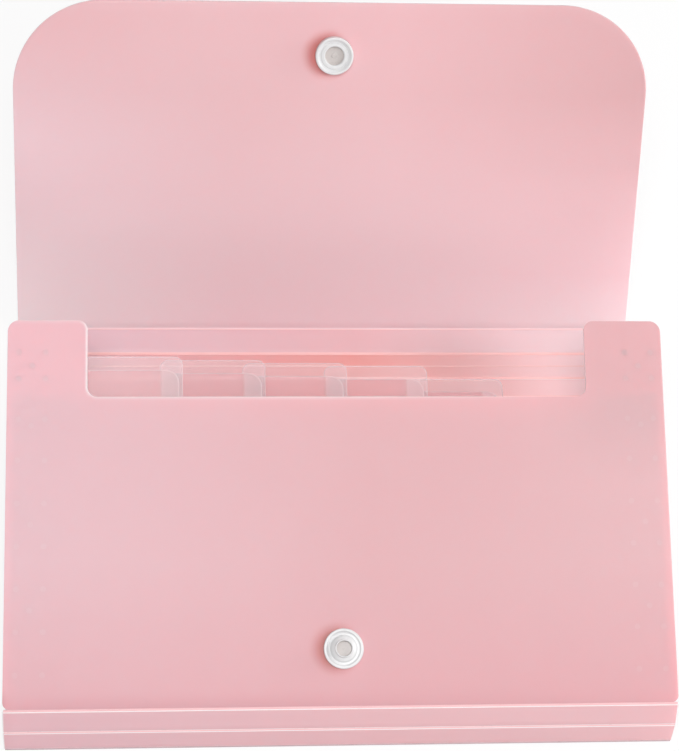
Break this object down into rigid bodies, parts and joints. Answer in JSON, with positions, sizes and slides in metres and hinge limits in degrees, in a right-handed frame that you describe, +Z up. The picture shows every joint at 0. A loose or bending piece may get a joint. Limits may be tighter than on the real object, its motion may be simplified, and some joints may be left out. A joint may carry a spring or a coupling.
{
  "type": "expanding file folder",
  "caption": "Small expanding file folder of translucent pink plastic, open on its back, with stepped clear index tabs, pleated sides and a snap flap.",
  "frame": {"origin": "the middle of the back panel's underside, on the surface that the folder lies on", "axes": "+Z up out of the table, +Y from the bottom edge towards the open flap, +X to the right seen from the bottom edge"},
  "size_m": [0.185, 0.1965, 0.0736],
  "materials": {
    "cover": "frosted translucent polypropylene sheet",
    "divider": "frosted translucent polypropylene sheet",
    "gusset": "thin frosted film, pleated",
    "index_tab": "clear film",
    "snap": "moulded white plastic"
  },
  "bodies": {
    "back": {"back_panel": "cover", "gusset_left_7": "gusset", "gusset_right_7": "gusset"},
    "spine_lower": {"spine_strip_lower": "cover"},
    "spine_upper": {"spine_strip_upper": "cover"},
    "flap": {"flap": "cover", "flap_snap_socket": "snap", "flap_snap_cap": "snap"},
    "bottom_lower": {"bottom_strip_lower": "cover"},
    "bottom_upper": {"bottom_strip_upper": "cover"},
    "front": {"front_panel": "cover", "front_snap_stud": "snap", "front_snap_cap": "snap"},
    "divider_1": {"divider_1": "divider", "index_tab_1": "index_tab", "gusset_left_1": "gusset", "gusset_right_1": "gusset"},
    "divider_2": {"divider_2": "divider", "index_tab_2": "index_tab", "gusset_left_2": "gusset", "gusset_right_2": "gusset"},
    "divider_3": {"divider_3": "divider", "index_tab_3": "index_tab", "gusset_left_3": "gusset", "gusset_right_3": "gusset"},
    "divider_4": {"divider_4": "divider", "index_tab_4": "index_tab", "gusset_left_4": "gusset", "gusset_right_4": "gusset"},
    "divider_5": {"divider_5": "divider", "index_tab_5": "index_tab", "gusset_left_5": "gusset", "gusset_right_5": "gusset"},
    "divider_6": {"divider_6": "divider", "index_tab_6": "index_tab", "gusset_left_6": "gusset", "gusset_right_6": "gusset"}
  },
  "joints": [
    {"name": "spine_lower_fold", "type": "hinge", "parent": "back", "child": "spine_lower", "pos_m": [0, 0.05545, 0.0006], "axis": [1, 0, 0], "range_deg": [0, 78.97], "stiffness_Nm_per_rad": 0.1},
    {"name": "spine_upper_fold", "type": "hinge", "parent": "spine_lower", "child": "spine_upper", "pos_m": [0, 0.06355, 0.0006], "axis": [1, 0, 0], "range_deg": [-6, 93.04], "stiffness_Nm_per_rad": 0.25},
    {"name": "flap_fold", "type": "hinge", "parent": "spine_upper", "child": "flap", "pos_m": [0, 0.07161, 0.00145], "axis": [1, 0, 0], "range_deg": [-40.5, 2.6], "stiffness_Nm_per_rad": 0.25},
    {"name": "pocket_7_opening", "type": "hinge", "parent": "back", "child": "divider_6", "pos_m": [0, -0.07135, 0.02], "axis": [1, 0, 0], "range_deg": [-1.49, 0], "stiffness_Nm_per_rad": 4, "deforming": ["gusset_left_7", "gusset_right_7"]},
    {"name": "pocket_6_opening", "type": "hinge", "parent": "divider_6", "child": "divider_5", "pos_m": [0, -0.07135, 0.02], "axis": [1, 0, 0], "range_deg": [-5.18, 0], "stiffness_Nm_per_rad": 4, "deforming": ["gusset_left_6", "gusset_right_6"]},
    {"name": "pocket_5_opening", "type": "hinge", "parent": "divider_5", "child": "divider_4", "pos_m": [0, -0.07135, 0.02], "axis": [1, 0, 0], "range_deg": [-4.15, 0], "stiffness_Nm_per_rad": 4, "deforming": ["gusset_left_5", "gusset_right_5"]},
    {"name": "pocket_4_opening", "type": "hinge", "parent": "divider_4", "child": "divider_3", "pos_m": [0, -0.07135, 0.02], "axis": [1, 0, 0], "range_deg": [-0.8096, 0], "stiffness_Nm_per_rad": 4, "deforming": ["gusset_left_4", "gusset_right_4"]},
    {"name": "pocket_3_opening", "type": "hinge", "parent": "divider_3", "child": "divider_2", "pos_m": [0, -0.07135, 0.02], "axis": [1, 0, 0], "range_deg": [-0.909, 0], "stiffness_Nm_per_rad": 4, "deforming": ["gusset_left_3", "gusset_right_3"]},
    {"name": "pocket_2_opening", "type": "hinge", "parent": "divider_2", "child": "divider_1", "pos_m": [0, -0.07135, 0.02], "axis": [1, 0, 0], "range_deg": [-1.15, 0], "stiffness_Nm_per_rad": 4, "deforming": ["gusset_left_2", "gusset_right_2"]},
    {"name": "pocket_1_opening", "type": "hinge", "parent": "divider_1", "child": "front", "pos_m": [0, -0.07135, 0.02], "axis": [1, 0, 0], "range_deg": [-0.5114, 0], "stiffness_Nm_per_rad": 4, "deforming": ["gusset_left_1", "gusset_right_1"]},
    {"name": "bottom_lower_fold", "type": "hinge", "parent": "back", "child": "bottom_lower", "pos_m": [0, -0.05545, 0.0006], "axis": [1, 0, 0], "range_deg": [0, 40.1]},
    {"name": "bottom_upper_fold", "type": "hinge", "parent": "bottom_lower", "child": "bottom_upper", "pos_m": [0, -0.05283, 0.00752], "axis": [1, 0, 0], "range_deg": [-91.79, 0]}
  ],
  "couplings": [
    {"joint": "spine_upper_fold", "follows": "flap_fold", "ratio": -2.2973},
    {"joint": "pocket_7_opening", "follows": "pocket_6_opening", "ratio": 0.28767},
    {"joint": "pocket_5_opening", "follows": "pocket_6_opening", "ratio": 0.8},
    {"joint": "pocket_4_opening", "follows": "pocket_6_opening", "ratio": 0.15616},
    {"joint": "pocket_3_opening", "follows": "pocket_6_opening", "ratio": 0.17534},
    {"joint": "pocket_2_opening", "follows": "pocket_6_opening", "ratio": 0.22192},
    {"joint": "pocket_1_opening", "follows": "pocket_6_opening", "ratio": 0.09863},
    {"joint": "spine_lower_fold", "follows": "pocket_6_opening", "ratio": -15.234},
    {"joint": "bottom_lower_fold", "follows": "pocket_6_opening", "ratio": -7.7357},
    {"joint": "bottom_upper_fold", "follows": "pocket_6_opening", "ratio": 17.707}
  ]
}
